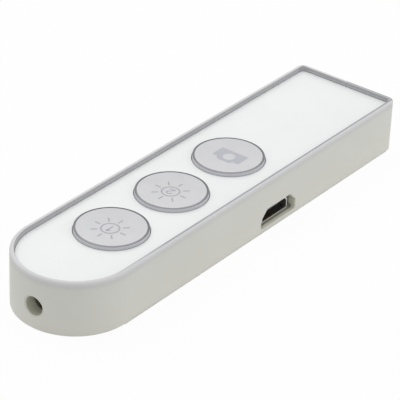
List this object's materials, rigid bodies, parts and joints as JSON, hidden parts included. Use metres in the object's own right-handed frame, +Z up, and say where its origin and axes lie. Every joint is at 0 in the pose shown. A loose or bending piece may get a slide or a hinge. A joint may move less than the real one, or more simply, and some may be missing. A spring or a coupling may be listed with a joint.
{
  "type": "bluetooth camera shutter remote",
  "caption": "Slim handheld wireless camera shutter remote: round-ended tub, recessed faceplate, raised round press buttons, side charging socket and lanyard tunnel.",
  "frame": {"origin": "centre of the plan, on the underside that the remote lies on", "axes": "+X along the length from the rounded end to the square end, +Z up out of the faceplate, charging socket on the -Y side"},
  "size_m": [0.0886, 0.0216, 0.0103],
  "materials": {
    "housing_abs": "fine matt moulded ABS, pale warm grey",
    "faceplate_white": "bright white moulded faceplate, satin gloss",
    "cap_grey": "light grey moulded ABS",
    "lens_printed": "clear disc, printed pale grey on its back",
    "tape": "double-sided adhesive tape",
    "board_green": "glass-epoxy board with green solder mask",
    "screw_steel": "zinc-plated steel",
    "socket_steel": "nickel-plated pressed steel",
    "black_nylon": "black glass-filled nylon",
    "contact_gold": "gold-flashed contact strip",
    "chip_black": "black moulded chip package",
    "can_steel": "plated can",
    "ceramic_white": "white ceramic",
    "chip_ceramic": "tan ceramic body",
    "pouch_foil": "aluminium laminate pouch",
    "foam_black": "black foam tape",
    "connector_cream": "cream nylon connector",
    "lead_red": "red PVC insulation",
    "lead_black": "black PVC insulation"
  },
  "bodies": {
    "handset": {"housing": "housing_abs", "faceplate": "faceplate_white", "faceplate_tape": "tape", "main_board": "board_green", "board_screws": "screw_steel", "charging_socket_shell": "socket_steel", "charging_socket_insulator": "black_nylon", "charging_socket_contacts": "contact_gold", "radio_chip": "chip_black", "clock_crystal": "can_steel", "charger_chip": "chip_black", "chip_antenna": "ceramic_white", "resistors_and_capacitors": "chip_ceramic", "battery_cell": "pouch_foil", "battery_foam_tape": "foam_black", "battery_protection_board": "board_green", "battery_connector": "connector_cream", "battery_plug": "connector_cream", "battery_lead_red": "lead_red", "battery_lead_black": "lead_black", "light_button_1_switch_body": "black_nylon", "light_button_1_switch_cover": "socket_steel", "light_button_1_switch_dome": "socket_steel", "light_button_2_switch_body": "black_nylon", "light_button_2_switch_cover": "socket_steel", "light_button_2_switch_dome": "socket_steel", "shutter_button_switch_body": "black_nylon", "shutter_button_switch_cover": "socket_steel", "shutter_button_switch_dome": "socket_steel"},
    "light_button_1": {"light_button_1_cap": "cap_grey", "light_button_1_lens": "lens_printed", "light_button_1_switch_plunger": "black_nylon"},
    "light_button_2": {"light_button_2_cap": "cap_grey", "light_button_2_lens": "lens_printed", "light_button_2_switch_plunger": "black_nylon"},
    "shutter_button": {"shutter_button_cap": "cap_grey", "shutter_button_lens": "lens_printed", "shutter_button_switch_plunger": "black_nylon"}
  },
  "joints": [
    {"name": "light_button_1_press", "type": "slide", "parent": "handset", "child": "light_button_1", "axis": [0, 0, -1], "range_m": [0, 0.00025], "stiffness_N_per_m": 400},
    {"name": "light_button_2_press", "type": "slide", "parent": "handset", "child": "light_button_2", "axis": [0, 0, -1], "range_m": [0, 0.00025], "stiffness_N_per_m": 400},
    {"name": "shutter_button_press", "type": "slide", "parent": "handset", "child": "shutter_button", "axis": [0, 0, -1], "range_m": [0, 0.00025], "stiffness_N_per_m": 400}
  ]
}
